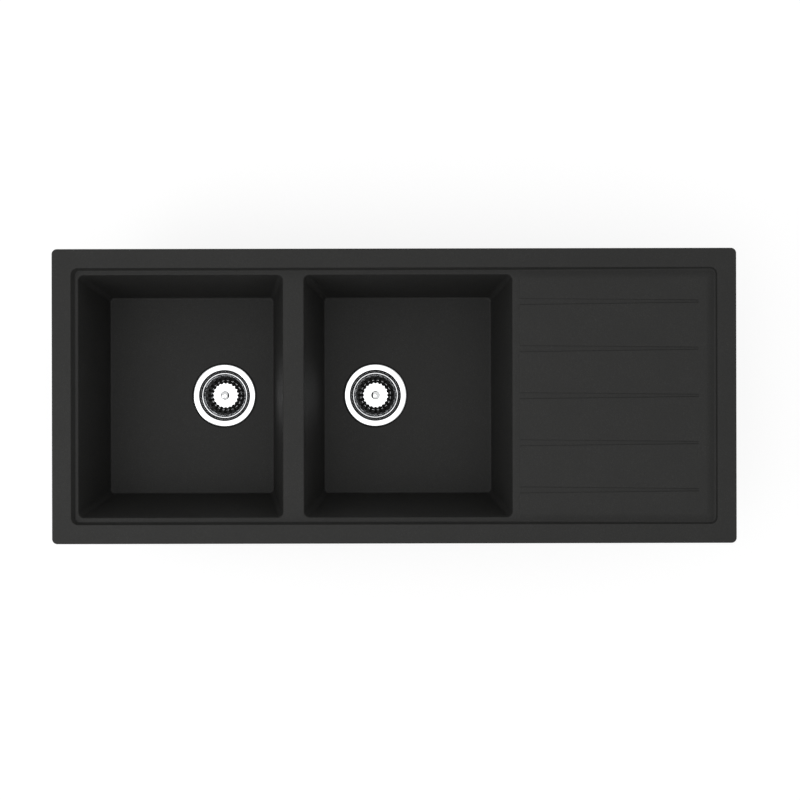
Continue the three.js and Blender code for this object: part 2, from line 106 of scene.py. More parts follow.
# Colour and gloss that drift together in patches, over a finer grain.
def patchyFinish(name, look, settings):
    finish, tree, shader, place = startMaterial(name, settings)
    patches = addNode(tree, "ShaderNodeTexNoise", {
        "Vector": place, "Scale": 1 / (look["patch"] * mm), "Detail": 5}).outputs["Fac"]
    low, high = look["roughness"]
    gloss = addNode(tree, "ShaderNodeMapRange", {
        "Value": patches, **noiseSpan, "To Min": low, "To Max": high})
    colour = addNode(tree, "ShaderNodeMix", {
        0: patches, 6: linear(look["colours"][0]), 7: linear(look["colours"][1])}, data_type="RGBA")
    grain = addNode(tree, "ShaderNodeTexNoise", {
        "Vector": place, "Scale": 1 / (look["grain"] * mm), "Detail": 2})
    bump = addNode(tree, "ShaderNodeBump", {
        "Height": grain.outputs["Fac"], "Distance": look["relief"] * mm, "Strength": 0.5})
    tree.links.new(colour.outputs[2], shader.inputs["Base Color"])
    tree.links.new(gloss.outputs["Result"], shader.inputs["Roughness"])
    tree.links.new(bump.outputs["Normal"], shader.inputs["Normal"])
    return finish


# Granite composite: quartz sand cast in acrylic resin. The eye gets a matt near-black with a faint
# grain, and a broad dull sheen in place of reflections.
composite = {
    "dark": "#1f1f1e", "light": "#242423", "speck": "#2a2a29",
    "common": 0.85,  # the share of grains from dark to light; the rest run on to the specks' colour
    "grain": 1.0,  # drawn coarser than the real 0.4 mm sand, so that it shows
    "cloud": 60,   # the faint unevenness of a casting
    "drift": 0.1,
    "roughness": (0.55, 0.66),
    "relief": 0.005,
}


def compositeMaterial():
    finish, tree, shader, place = startMaterial("granite_composite", {"Specular IOR Level": 0.25})
    grain = addNode(tree, "ShaderNodeTexVoronoi", {"Vector": place, "Scale": 1 / (composite["grain"] * mm)})
    tone = addNode(tree, "ShaderNodeSeparateColor", {"Color": grain.outputs["Color"]})
    cloud = addNode(tree, "ShaderNodeTexNoise", {
        "Vector": place, "Scale": 1 / (composite["cloud"] * mm), "Detail": 4})
    drift = addNode(tree, "ShaderNodeMapRange", {
        "Value": cloud.outputs["Fac"], **noiseSpan,
        "To Min": -composite["drift"], "To Max": composite["drift"]})
    mixed = addNode(tree, "ShaderNodeMath", {
        0: tone.outputs["Red"], 1: drift.outputs["Result"]}, operation="ADD")
    ramp = addNode(tree, "ShaderNodeValToRGB", {"Fac": mixed.outputs["Value"]})
    ends = ramp.color_ramp.elements
    ends[0].color, ends[1].color = linear(composite["dark"]), linear(composite["speck"])
    ends.new(composite["common"]).color = linear(composite["light"])
    low, high = composite["roughness"]
    gloss = addNode(tree, "ShaderNodeMapRange", {
        "Value": tone.outputs["Green"], "To Min": low, "To Max": high})
    bump = addNode(tree, "ShaderNodeBump", {
        "Height": tone.outputs["Blue"], "Distance": composite["relief"] * mm})
    tree.links.new(ramp.outputs["Color"], shader.inputs["Base Color"])
    tree.links.new(gloss.outputs["Result"], shader.inputs["Roughness"])
    tree.links.new(bump.outputs["Normal"], shader.inputs["Normal"])
    return finish


# Polished stainless steel: pressed or turned, then buffed round. The eye gets a bright mirror,
# softened by hairlines that run round the drain.
polished = {
    "colour": "#d9dadb",
    "roughness": (0.03, 0.08),
    "hairline": 0.8,  # real ones are finer, and too fine to show
    "smudge": 16,
    "relief": 0.0006,
}


def polishedMaterial(name, centre):
    finish, tree, shader, place = startMaterial(name, {
        "Base Color": linear(polished["colour"]), "Metallic": 1})
    centred = addNode(tree, "ShaderNodeMapping", {"Vector": place, "Location": -centre * mm})
    scale = math.pi / 10 / (polished["hairline"] * mm)  # at scale 1 a wave is pi / 10 long
    lines = addNode(tree, "ShaderNodeTexWave", {
        "Vector": centred.outputs["Vector"], "Distortion": 0.5, "Detail": 2, "Scale": scale},
        wave_type="RINGS", rings_direction="Z")
    smudges = addNode(tree, "ShaderNodeTexNoise", {
        "Vector": place, "Scale": 1 / (polished["smudge"] * mm), "Detail": 3})
    low, high = polished["roughness"]
    gloss = addNode(tree, "ShaderNodeMapRange", {
        "Value": smudges.outputs["Fac"], **noiseSpan, "To Min": low, "To Max": high})
    bump = addNode(tree, "ShaderNodeBump", {
        "Height": lines.outputs["Fac"], "Distance": polished["relief"] * mm, "Strength": 0.5})
    tree.links.new(gloss.outputs["Result"], shader.inputs["Roughness"])
    tree.links.new(bump.outputs["Normal"], shader.inputs["Normal"])
    return finish


# Zinc-plated steel: stamped, bent and bright-plated. The eye gets a soft bluish grey with faint
# patches where the plating took differently.
zinc = {"colours": ("#9ea2a8", "#c3c6ca"), "patch": 4, "roughness": (0.26, 0.44), "grain": 0.4,
        "relief": 0.01}
# Turned brass, a little tarnished: warm yellow, duller where water reached it.
brassFinish = {"colours": ("#8c6a36", "#c8a35c"), "patch": 3, "roughness": (0.22, 0.42), "grain": 0.3,
               "relief": 0.008}
# Painted shade: a duller, darker grey steel for the lower part of the flange's cup, so that the basket's
# slots look dark over it; real cups are often as polished as the rest.
shadedCupLook = {"colours": ("#5a5b5c", "#77787a"), "patch": 5, "roughness": (0.42, 0.55), "grain": 0.4,
              "relief": 0.006}
# Polypropylene moulded in a spark-eroded tool: a satin black with a fine even texture.
plastic = {"colours": ("#18191a", "#232426"), "patch": 12, "roughness": (0.42, 0.56), "grain": 0.7,
           "relief": 0.02}
# Moulded nitrile rubber: a soft black that swallows light, with a greyish bloom in places.
rubber = {"colours": ("#131313", "#242423"), "patch": 7, "roughness": (0.75, 0.92), "grain": 0.5,
          "relief": 0.02}


# Helpers for shapes, all in millimetres.

past = 2  # how far a tool runs past the faces that it cuts or joins


def roundCorner(shape, points, rounding, steps):
    bmesh.ops.bevel(shape, geom=points, offset=rounding, offset_type="OFFSET", segments=steps,
                    profile=0.5, affect="VERTICES", material=-1)


def roundEdges(shape, edges, rounding, steps):
    bmesh.ops.bevel(shape, geom=edges, offset=rounding, offset_type="OFFSET", segments=steps,
                    profile=0.5, affect="EDGES", material=-1, clamp_overlap=True)


# Corners are (radius, height) or (radius, height, rounding), round the section of the solid.
def outlined(corners, steps):
    shape = bmesh.new()
    points = [shape.verts.new((corner[0], 0, corner[1])) for corner in corners]
    shape.faces.new(points)
    for point, corner in zip(points, corners):
        if len(corner) > 2:
            roundCorner(shape, [point], corner[2], steps)
    return shape


def turned(corners, steps=96, cornerSteps=6):
    shape = outlined(corners, cornerSteps)
    bmesh.ops.delete(shape, geom=shape.faces[:], context="FACES_ONLY")
    onAxis = [e for e in shape.edges if all(abs(v.co.x) < 1e-6 for v in e.verts)]
    bmesh.ops.delete(shape, geom=onAxis, context="EDGES")
    bmesh.ops.spin(shape, geom=shape.verts[:] + shape.edges[:], cent=(0, 0, 0), axis=(0, 0, 1),
                   angle=math.tau, steps=steps, use_merge=True)
    return closedUp(shape)


def closedUp(shape):
    bmesh.ops.remove_doubles(shape, verts=shape.verts[:], dist=1e-4)
    bmesh.ops.recalc_face_normals(shape, faces=shape.faces[:])
    return shape


def rod(radius, low, high):
    return turned([(0, low), (radius, low), (radius, high), (0, high)], 48)


def block(low, high):
    shape = bmesh.new()
    bmesh.ops.create_cube(shape, size=1)
    size = Vector(high) - Vector(low)
    bmesh.ops.scale(shape, vec=size, verts=shape.verts[:])
    bmesh.ops.translate(shape, vec=(Vector(high) + Vector(low)) / 2, verts=shape.verts[:])
    return shape


def uprightEdges(shape):
    return [e for e in shape.edges if abs((e.verts[1].co - e.verts[0].co).normalized().z) > 0.999]


# A closed body through level rounded rectangles, each {x, length, width, radius, z}.
def lofted(levels, cornerSteps=10):
    shape = bmesh.new()
    rings = []
    for level in levels:
        known = set(shape.faces)
        corners = bmesh.ops.create_grid(shape, x_segments=1, y_segments=1, size=0.5)["verts"]
        bmesh.ops.scale(shape, vec=(level["length"], level["width"], 1), verts=corners)
        bmesh.ops.translate(shape, vec=(level.get("x", 0), 0, level["z"]), verts=corners)
        roundCorner(shape, corners, level["radius"], cornerSteps)
        rings += [face for face in shape.faces if face not in known]
    for low, high in zip(rings, rings[1:]):
        bmesh.ops.bridge_loops(shape, edges=low.edges[:] + high.edges[:])
    bmesh.ops.delete(shape, geom=rings[1:-1], context="FACES_ONLY")
    return closedUp(shape)


def moved(shape, offset, turn=0.0):
    bmesh.ops.rotate(shape, cent=(0, 0, 0), matrix=Matrix.Rotation(turn, 3, "Z"), verts=shape.verts[:])
    bmesh.ops.translate(shape, vec=offset, verts=shape.verts[:])
    return shape


def asObject(shape):
    mesh = bpy.data.meshes.new("shape")
    shape.to_mesh(mesh)
    shape.free()
    made = bpy.data.objects.new("shape", mesh)
    scene.collection.objects.link(made)
    return made


def together(shapes):
    whole = bmesh.new()
    for shape in shapes:
        holder = bpy.data.meshes.new("holder")
        shape.to_mesh(holder)
        shape.free()
        whole.from_mesh(holder)
        bpy.data.meshes.remove(holder)
    return whole


def combined(shape, tool, operation):  # UNION, DIFFERENCE or INTERSECT
    parts = [asObject(shape), asObject(tool)]
    step = parts[0].modifiers.new("combine", "BOOLEAN")
    step.object, step.operation, step.solver = parts[1], operation, "EXACT"
    result = parts[0].evaluated_get(bpy.context.evaluated_depsgraph_get()).to_mesh()
    whole = bmesh.new()
    whole.from_mesh(result)
    for part in parts:
        bpy.data.meshes.remove(part.data)  # its object goes with it
    return whole


def repeated(make, count, start=0.0):  # copies turned round the vertical axis
    return together([moved(make(), (0, 0, 0), start + math.tau * i / count) for i in range(count)])


def finishPiece(name, shape, material, body, nodes, sharpAngle=32):
    closedUp(shape)
    for edge in shape.edges:
        edge.smooth = edge.calc_face_angle(0) < math.radians(sharpAngle)
    for face in shape.faces:
        face.smooth = True
    bmesh.ops.scale(shape, vec=(mm, mm, mm), verts=shape.verts[:])
    piece = asObject(shape)
    piece.name = piece.data.name = name
    piece.data.materials.append(material)
    weighted = piece.modifiers.new("flat faces stay flat", "WEIGHTED_NORMAL")
    weighted.keep_sharp = True
    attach(piece, body)
    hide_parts(*nodes)
    return piece


# The casting: rim, recess, two bowls and a grooved drainer panel.

casting = {
    "rimCorner": 9, "rimEdge": 3, "rimWidth": 32.5, "lap": 13,
    "recessDepth": 12, "recessDraft": 4.5, "recessCorner": 12,
    "recessWall": 3.6, "leftWall": 5.8,  # how wide the wall is; the left end slopes more
    "recessLip": 0.8, "recessCove": 2.2, "wallSteps": 5,
    "deck": 9, "deckEdge": 2, "wall": 9, "floor": 10,
    "bowlLengths": (347, 353.5), "bowlMargin": 6.5, "bowlSideMargin": 7.25, "divider": 36.5,
    "bowlInset": (29.75, 33.5), "bowlCorner": 9, "lip": 2.5, "fillet": 4, "bottomEdge": 12,
    "flare": 6,  # where a bowl's outside meets the underside of the deck
    "seat": 58.2, "seatDepth": 2.5, "drainHole": 45, "drainOffset": 58,
    "boss": 8, "bossLength": 17, "bossHole": 4.5, "bossHoleDepth": 12.3,
}
drainer = {
    "margin": 11, "startStep": 1.4, "startEdge": 2.5, "endDepth": 4,
    "grooves": 5, "pitch": 80, "startWidth": 10.5, "endWidth": 4, "floorStep": 0.2, "grooveDepth": 1.6,
    "grooveLength": 307, "grooveEdge": 0.9, "grooveEnd": 3,
    # round the panel its edge rolls down to the recess wall: from, to, and how deep at the right end
    "edgeFrom": 19, "edgeTo": 4, "edgeDepth": 2.6,
}

sinkLow, sinkHigh = cadSize("sink_body")
sinkLength, sinkWidth = sinkHigh.x - sinkLow.x, sinkHigh.y - sinkLow.y
rimTop, bowlBottom = sinkHigh.z, sinkLow.z
recessFloor = rimTop - casting["recessDepth"]
deckBottom = recessFloor - casting["deck"]
bowlFloor = bowlBottom + casting["floor"]
castingLength = sinkLength - 2 * casting["lap"]
castingWidth = sinkWidth - 2 * casting["lap"]
recessX = sinkLength / 2 - casting["rimWidth"]
recessY = sinkWidth / 2 - casting["rimWidth"]
bowlWidth = 2 * (recessY - casting["recessDraft"] - casting["bowlSideMargin"])
leftLength, rightLength = casting["bowlLengths"]
leftBowlX = -recessX + casting["recessDraft"] + casting["bowlMargin"] + leftLength / 2
rightBowlX = leftBowlX + (leftLength + rightLength) / 2 + casting["divider"]
bowls = {"left": (leftBowlX, leftLength), "right": (rightBowlX, rightLength)}
drains = {"left": leftBowlX + casting["drainOffset"], "right": rightBowlX - casting["drainOffset"]}
panelStart = rightBowlX + rightLength / 2 + drainer["margin"]
panelLow, panelHigh = recessFloor + drainer["startStep"], rimTop - drainer["endDepth"]
grooveEnd = panelStart + drainer["grooveLength"]
meanInset = sum(casting["bowlInset"]) / 2
grooveLines = [(i - (drainer["grooves"] - 1) / 2) * drainer["pitch"] for i in range(drainer["grooves"])]
# The recess's wall grows outwards from a border inside it, whose corners are nearly sharp.
borderCorner = 0.5
border = casting["recessCorner"] - borderCorner
borderX, borderY = recessX - border, recessY - border


def smooth(t):
    t = min(max(t, 0), 1)
    return t * t * (3 - 2 * t)


def grooveHalf(x):
    t = min(max((x - panelStart) / drainer["grooveLength"], 0), 1)
    return (drainer["startWidth"] * (1 - t) + drainer["endWidth"] * t) / 2


def panelHeight(x):
    return panelLow + (panelHigh - panelLow) * (x - panelStart) / (recessX - panelStart)


def cutFloor(x, depth):  # what the panel falls to where it is cut this deep at the grooves' end
    mouth, end = recessFloor + drainer["floorStep"], panelHeight(grooveEnd) - depth
    return mouth + (end - mouth) * (x - panelStart) / drainer["grooveLength"]


def fromWall(x, y):  # distance in from the recess's edge, round its corners too
    corner = casting["recessCorner"]
    beyond = Vector((abs(x) - recessX + corner, abs(y) - recessY + corner))
    return corner - min(max(beyond), 0) - Vector((max(beyond.x, 0), max(beyond.y, 0))).length


def recessHeight(x, y):  # of the deck and the drainer panel, with its grooves
    panel, edge = panelHeight(x), drainer["grooveEdge"]
    bottom = cutFloor(x, drainer["grooveDepth"])
    for line in grooveLines:
        across = smooth((grooveHalf(x) + edge - abs(y - line)) / (2 * edge))
        panel += (bottom - panel) * across * smooth((grooveEnd - x) / drainer["grooveEnd"])
    rolled = (drainer["edgeFrom"] - fromWall(x, y)) / (drainer["edgeFrom"] - drainer["edgeTo"])
    panel += (cutFloor(x, drainer["edgeDepth"]) - panel) * smooth(rolled)
    return recessFloor + (panel - recessFloor) * smooth((x - panelStart) / drainer["startEdge"])


def curve(start, corner, end, steps):  # a round stretch between two straight ones
    for i in range(1, steps + 1):
        t = i / steps
        yield start * (1 - t) ** 2 + corner * 2 * t * (1 - t) + end * t * t


# The section of the recess wall as (distance outwards, height) from a point on the border.
def wallSection(place, outward):
    top = Vector((border, rimTop))
    width = casting["recessWall"] + (casting["leftWall"] - casting["recessWall"]) * smooth(-outward.x)
    foot = border - width
    for _ in range(3):  # the wall meets the sloping panel further out
        height = recessHeight(*(place + outward * foot).xy)
        foot = border - width * (rimTop - height) / casting["recessDepth"]
    bottom = Vector((foot, height))
    up = (top - bottom).normalized()
    cove, lip = casting["recessCove"], casting["recessLip"]
    steps = casting["wallSteps"]
    flat = [(foot - cove) * i / steps for i in range(1, steps + 1)]
    yield from (Vector((d, recessHeight(*(place + outward * d).xy))) for d in flat)
    yield from curve(Vector((foot - cove, height)), bottom, bottom + up * cove, steps)
    yield from curve(top - up * lip, top, top + Vector((lip, 0)), steps)
    yield top + Vector((lip, past))


def recessGrid():  # the recess's floor, as far as the border
    edge = drainer["grooveEdge"]
    steps = (0, 2, 4, 6, 8)  # over the panel's rolled edge
    columns = [-borderX, 0] + [panelStart + drainer["startEdge"] * i / 5 for i in range(6)]
    columns += [grooveEnd - drainer["grooveEnd"] * i / 5 for i in range(6)]
    columns += [panelStart + drainer["grooveLength"] * i / 16 for i in range(1, 16)]
    columns = sorted(columns + [borderX - step for step in steps])
    # each row is (place in Y, share of the groove's half width, extra)
    rows = [(side * (borderY - step), 0, 0) for side in (-1, 1) for step in steps]
    rows += [(line, side, side * edge * (i / 3 - 1)) for line in grooveLines for side in (-1, 1)
             for i in range(7)]
    rows += [(line + drainer["pitch"] / 2, 0, 0) for line in grooveLines[:-1]]
    rows.sort(key=lambda row: row[0] + row[1] * drainer["endWidth"] / 2 + row[2])
    shape = bmesh.new()
    count = (len(columns) - 1, len(rows) - 1)
    bmesh.ops.create_grid(shape, x_segments=count[0], y_segments=count[1], size=0.5)
    for point in shape.verts:
        x = columns[round((point.co.x + 0.5) * count[0])]
        line, share, extra = rows[round((point.co.y + 0.5) * count[1])]
        y = line + share * grooveHalf(x) + extra
        point.co = (x, y, recessHeight(x, y))
    roundCorner(shape, [v for v in shape.verts if len(v.link_edges) == 2], borderCorner, 8)
    return shape


def recessCutter():
    shape = recessGrid()
    cornerX, cornerY = borderX - borderCorner, borderY - borderCorner
    # the wall grows ring by ring, from each point of the border in its own direction
    start = shape.verts.layers.float_vector.new("start")
    outward = shape.verts.layers.float_vector.new("outward")
    for point in (v for v in shape.verts if v.is_boundary):
        point[start] = point.co
        x, y = point.co.xy
        if abs(x) > cornerX and abs(y) > cornerY:
            away = Vector((x - math.copysign(cornerX, x), y - math.copysign(cornerY, y)))
        elif abs(x) > borderX - borderCorner / 5:
            away = Vector((x, 0))
        else:
            away = Vector((0, y))
        point[outward] = away.normalized().to_3d()
    sections = {}
    edges = [e for e in shape.edges if e.is_boundary]
    for ring in range(3 * casting["wallSteps"] + 1):
        made = bmesh.ops.extrude_edge_only(shape, edges=edges)["geom"]
        edges = [e for e in made if isinstance(e, bmesh.types.BMEdge) and e.is_boundary]
        for point in (v for v in made if isinstance(v, bmesh.types.BMVert)):
            place, away = point[start], point[outward]
            key = place.to_tuple(3)
            if key not in sections:
                sections[key] = list(wallSection(place, away))
            out, height = sections[key][ring]
            point.co = place + away * out
            point.co.z = height
    bmesh.ops.contextual_create(shape, geom=edges)
    return closedUp(shape)


def bowlLevel(side, inset, height, grow=0.0):  # inset 0 is the opening's edge and 1 the floor's
    x, length = bowls[side]
    insetX, insetY = casting["bowlInset"]
    return {"x": x, "length": length - 2 * inset * insetX + 2 * grow,
            "width": bowlWidth - 2 * inset * insetY + 2 * grow,
            "radius": casting["bowlCorner"] + grow, "z": height}


def arc(radius, start, end, steps):  # offsets round a centre, angles in degrees
    for i in range(steps + 1):
        angle = math.radians(start + (end - start) * i / steps)
        yield radius * math.cos(angle), radius * math.sin(angle)


def bowlInside(side):
    fillet, lip = casting["fillet"], casting["lip"]
    levels = [bowlLevel(side, 1 - out / meanInset, bowlFloor + fillet + up)
              for out, up in arc(fillet, -90, -4, 8)]
    levels += [bowlLevel(side, -(lip + out) / meanInset, recessFloor - lip + up)
               for out, up in arc(lip, 180, 90, 6)]
    return lofted(levels + [{**levels[-1], "z": rimTop + past}])


def bowlOutside(side):
    edge, flare, wall = casting["bottomEdge"], casting["flare"], casting["wall"]
    footInset = 1 - casting["fillet"] / meanInset  # where the wall starts, over the fillet
    levels = [bowlLevel(side, footInset, bowlBottom + edge + up, wall - edge + out)
              for out, up in arc(edge, -90, 0, 8)]
    wallHeight = recessFloor - casting["lip"] - bowlBottom - edge
    inset = footInset * (recessFloor - casting["lip"] - deckBottom + flare) / wallHeight
    levels += [bowlLevel(side, inset, deckBottom - flare + up, wall + flare + out)
               for out, up in arc(flare, 180, 90, 5)]
    return lofted(levels + [{**levels[-1], "z": deckBottom + past}])


def slab(length, width, levels):  # each level is (how far in from the edge, height)
    return lofted([{"length": length - 2 * inset, "width": width - 2 * inset,
                    "radius": casting["rimCorner"] - inset, "z": height} for inset, height in levels])


def rimSlab():
    edge = casting["rimEdge"]
    levels = [(0.5, 0), (0.15, 0.15), (0, 0.5)]  # the edge underneath is rounded by 0.5
    levels += [(edge - out, rimTop - edge + up) for out, up in arc(edge, 0, 90, 8)]
    return slab(sinkLength, sinkWidth, levels)


def deckSlab():
    edge = casting["deckEdge"]
    levels = [(edge - out, deckBottom + edge + up) for out, up in arc(edge, -90, 0, 4)]
    return slab(castingLength, castingWidth, levels + [(0, rimTop / 2)])


def screwPlace(joint):
    x, y, _ = joint["pos_m"]
    return Vector((x / mm, y / mm, 0))


def atClips(corners):  # the same turned shape at every clip's screw
    return together([moved(turned(corners, 48), screwPlace(joint)) for joint in clipJoints])


def atDrains(corners):
    return together([moved(turned(corners, 128), (drains[side], 0, 0)) for side in sides])


def sinkBody(material):
    bossEnd = deckBottom - casting["bossLength"]
    body = rimSlab()
    for added in (
        deckSlab(),
        together([bowlOutside(side) for side in sides]),
        atClips([(0, bossEnd), (casting["boss"], bossEnd, 1), (casting["boss"], deckBottom + past),
                 (0, deckBottom + past)]),
    ):
        body = combined(body, added, "UNION")
    seatFloor = bowlFloor - casting["seatDepth"]
    for removed in (
        recessCutter(),
        together([bowlInside(side) for side in sides]),
        atDrains([(0, bowlBottom - past), (casting["drainHole"], bowlBottom - past),
                  (casting["drainHole"], seatFloor), (casting["seat"], seatFloor, 0.6),
                  (casting["seat"], bowlFloor + past), (0, bowlFloor + past)]),
        atClips([(0, bossEnd - past), (casting["bossHole"], bossEnd - past),
                 (casting["bossHole"], bossEnd + casting["bossHoleDepth"]),
                 (0, bossEnd + casting["bossHoleDepth"])]),
    ):
        body = combined(body, removed, "DIFFERENCE")
    return finishPiece("casting", body, material, "root", ["sink_body"], 45)


# One basket waste. Radii, and heights above the bowl's floor.

waste = {
    "sheet": 1.2,
    "slotRound": 0.3,  # of a slot's width
    # Low in the flange's cup the steel turns darker: painted shade under the basket's slots.
    "flange": {"outer": 57, "top": 0.8, "drop": 2, "edge": (2.2, 1.5), "throat": 42.6, "cone": (3.4, 2.3),
               "depth": 32, "draft": 1.1, "cupCorner": 5, "shadeFrom": -9, "screwHole": 6.3,
               "slots": 6, "slotWidth": 8, "slotFrom": 15, "slotTo": 28},
    "basket": {"outer": 41, "bead": 3, "beadTop": -2.5, "beadHeight": 1.9, "plateTop": -20.5, "sheet": 1,
               "plate": 22.5, "slope": (36, -11.9), "wall": -8.9,  # where its slope ends and its wall starts
               "hole": 3.3, "slots": 20, "slotWidth": 4.8, "slotFrom": 21, "slotTo": 35.8},
    "knob": {"outer": 7.8, "shoulder": 0.6, "top": -6.5, "dome": 16, "hole": 3.3, "holeTop": -12.7},
}


def finishWaste(side, name, shape, material, moves=False):
    node = f"{side}_{name}"
    moved(shape, (drains[side], 0, bowlFloor))
    body = f"{side}_basket_unit" if moves else "root"
    return finishPiece(f"{node}_visual", shape, material, body, [node])


def slotTool(width, start, end, low, high):  # a straight slot with round ends, outwards along X
    shape = block((start, -width / 2, low), (end, width / 2, high))
    roundEdges(shape, uprightEdges(shape), width * waste["slotRound"], 4)
    return shape


# Its rim slopes outwards at the edge and is coned at the throat. The underside follows one sheet away.
def flange(side, material, shadeSteel):
    s, t = waste["flange"], waste["sheet"]
    top, floor, wall = s["top"], -s["depth"], s["throat"] - s["draft"]
    (edgeWidth, edgeDepth), (coneWidth, coneDepth) = s["edge"], s["cone"]
    shape = turned([
        (s["outer"], top - s["drop"]), (s["outer"], top - edgeDepth, 0.4),
        (s["outer"] - edgeWidth, top, 1.2), (s["throat"] + coneWidth, top, 0.5),
        (s["throat"], top - coneDepth, 0.4), (wall, floor, s["cupCorner"]),
        (s["screwHole"], floor), (s["screwHole"], floor - t),
        (wall + t, floor - t, s["cupCorner"] + t), (s["throat"] + t, top - coneDepth - t / 2, 0.8),
        (s["throat"] + coneWidth + t / 3, top - t, 0.8),
        (s["outer"] - t, top - t, 0.4), (s["outer"] - t, top - s["drop"]),
    ], 160, 8)
    slots = repeated(lambda: slotTool(s["slotWidth"], s["slotFrom"], s["slotTo"], floor - t - past,
                                      floor + past), s["slots"])
    shape = combined(shape, slots, "DIFFERENCE")
    piece = finishWaste(side, "waste_flange", shape, material)
    piece.data.materials.append(shadeSteel)
    # Faces low in the cup get the darker steel: painted shade, so that the slots look dark.
    for face in piece.data.polygons:
        face.material_index = int(face.center.z < (bowlFloor + s["shadeFrom"]) * mm)


def basket(side, material):  # its underside follows about one sheet away
    s = waste["basket"]
    inner, top, plate = s["outer"] - s["bead"], s["beadTop"], s["plateTop"]
    sheet, (bend, bendHeight) = s["sheet"], s["slope"]
    shape = turned([
        (s["hole"], plate), (s["plate"], plate, 0.8), (bend, bendHeight, 1), (inner, s["wall"], 1),
        (inner, top, 1.4), (s["outer"], top, 1.4), (s["outer"], top - s["beadHeight"], 0.5),
        (inner + sheet, top - s["beadHeight"]), (inner + sheet, s["wall"] - 0.3 * sheet, 3),
        (bend + 0.7 * sheet, bendHeight - 0.7 * sheet, 3), (s["plate"] + 0.3 * sheet, plate - sheet, 1.5),
        (s["hole"], plate - sheet),
    ], 160, 6)
    slots = repeated(lambda: slotTool(s["slotWidth"], s["slotFrom"], s["slotTo"], plate - 3, top), s["slots"])
    return finishWaste(side, "basket", combined(shape, slots, "DIFFERENCE"), material, True)


def knob(side, material):
    s, plate = waste["knob"], waste["basket"]["plateTop"]
    centre = s["top"] - s["dome"]
    # the dome stops short of the rounded shoulder
    reach = math.degrees(math.asin((s["outer"] - 1.2 * s["shoulder"]) / s["dome"]))
    dome = [(out, centre + up) for out, up in arc(s["dome"], 90, 90 - reach, 8)]
    edge = centre + math.sqrt(s["dome"] ** 2 - s["outer"] ** 2)
    shape = turned([(0, s["top"]), *dome[1:], (s["outer"], edge, s["shoulder"]), (s["outer"], plate),
                    (s["hole"], plate), (s["hole"], s["holeTop"]), (0, s["holeTop"])], 96, 8)
    return finishWaste(side, "basket_knob", shape, material, True)


# The stem, the rubber stopper on it, its washer and the ring that grips the clamp screw's bore.
stem = {"radius": 3, "top": -13, "end": -45, "chamfer": 0.6, "ring": 0.7, "ringCentre": 3.15,
        "ringHeight": -38.5, "groove": 1.0, "waist": 2.15}
stopper = {"outer": 33, "lip": 3.5, "edge": 1, "sheet": 3, "hub": 9, "hubEnd": -27, "bottom": -31.7,
           "top": -21.5, "shoulder": 11, "washer": (7, 3.15, 1)}


def stemParts(side, steel, black):
    ring, centre = stem["ring"], stem["ringHeight"]
    low, high = centre - stem["groove"], centre + stem["groove"]
    shape = turned([(0, stem["end"]), (stem["radius"], stem["end"], stem["chamfer"]), (stem["radius"], low),
                    (stem["waist"], low, 0.2), (stem["waist"], high, 0.2), (stem["radius"], high),
                    (stem["radius"], stem["top"], 0.3), (0, stem["top"])], 48, 3)
    finishWaste(side, "basket_stem", shape, steel, True)
    inner, outer = stem["ringCentre"] - ring, stem["ringCentre"] + ring
    shape = turned([(r, centre + h, ring * 0.98) for r, h in
                    ((inner, -ring), (outer, -ring), (outer, ring), (inner, ring))], 48, 5)
    finishWaste(side, "stem_grip_ring", shape, black, True)


def stopperParts(side, steel, black):
    s, hole = stopper, waste["basket"]["hole"]
    shape = turned([
        (hole, s["hubEnd"]), (s["shoulder"], s["hubEnd"], 1.5), (s["outer"] - s["lip"], s["bottom"], 1.5),
        (s["outer"], s["bottom"], 0.45), (s["outer"], s["bottom"] + s["edge"], 0.45),
        (s["hub"], s["hubEnd"] + s["sheet"], 2.2), (s["hub"], s["top"]), (hole, s["top"]),
    ], 96, 5)
    finishWaste(side, "basket_stopper", shape, black, True)
    outer, inner, thick = s["washer"]
    shape = turned([(inner, s["hubEnd"] - thick), (outer, s["hubEnd"] - thick, 0.3), (outer, s["hubEnd"]),
                    (inner, s["hubEnd"])], 48, 3)
    finishWaste(side, "stem_washer", shape, steel, True)


# Under the bowl: gaskets, housing with its spider, clamp screw, brass insert, seal and coupling.
under = {
    "gasket": {"outer": 54, "inner": 46.5, "low": -2.5, "high": -0.4},
    "lowerGasket": {"outer": 52.5, "inner": 46.5, "low": -13, "high": -10},
    "housing": {"flange": 52.5, "flangeThick": 4, "top": -13, "inner": 45.4, "wall": 3, "coneTop": -39,
                "coneEnd": -54, "outletInner": 20.4, "outletOuter": 23.9, "end": -74},
    "spider": {"arms": 3, "thick": 3, "hub": 12, "low": -49.5, "high": -35.5, "raise": 2,
               "insertHole": 8.8, "insertTop": -39.2, "screwHole": 6.3},
    "screw": {"radius": 6, "head": 10, "headTop": -29, "seat": -32, "end": -51, "bore": 4,
              "boreEnd": -48, "socket": 6.2, "socketDepth": 2},
    "insert": {"outer": 8.5, "inner": 6.3, "low": -49.5, "high": -39.5},
    "seal": {"outer": 23.6, "inner": 19.9, "low": -78, "high": -74},
    "coupling": {"outer": 29, "lip": 20.9, "inner": 24.2, "low": -82, "lipTop": -78, "high": -58,
                 "ribs": 10, "ribWidth": 5, "ribHeight": 2, "ribRoot": 1.5, "ribEnds": (0.4, 0.2),
                 "ribRound": 0.9},
}


def plainRing(s, rounding, steps=96):
    return turned([(s["inner"], s["low"], rounding), (s["outer"], s["low"], rounding),
                   (s["outer"], s["high"], rounding), (s["inner"], s["high"], rounding)], steps, 4)


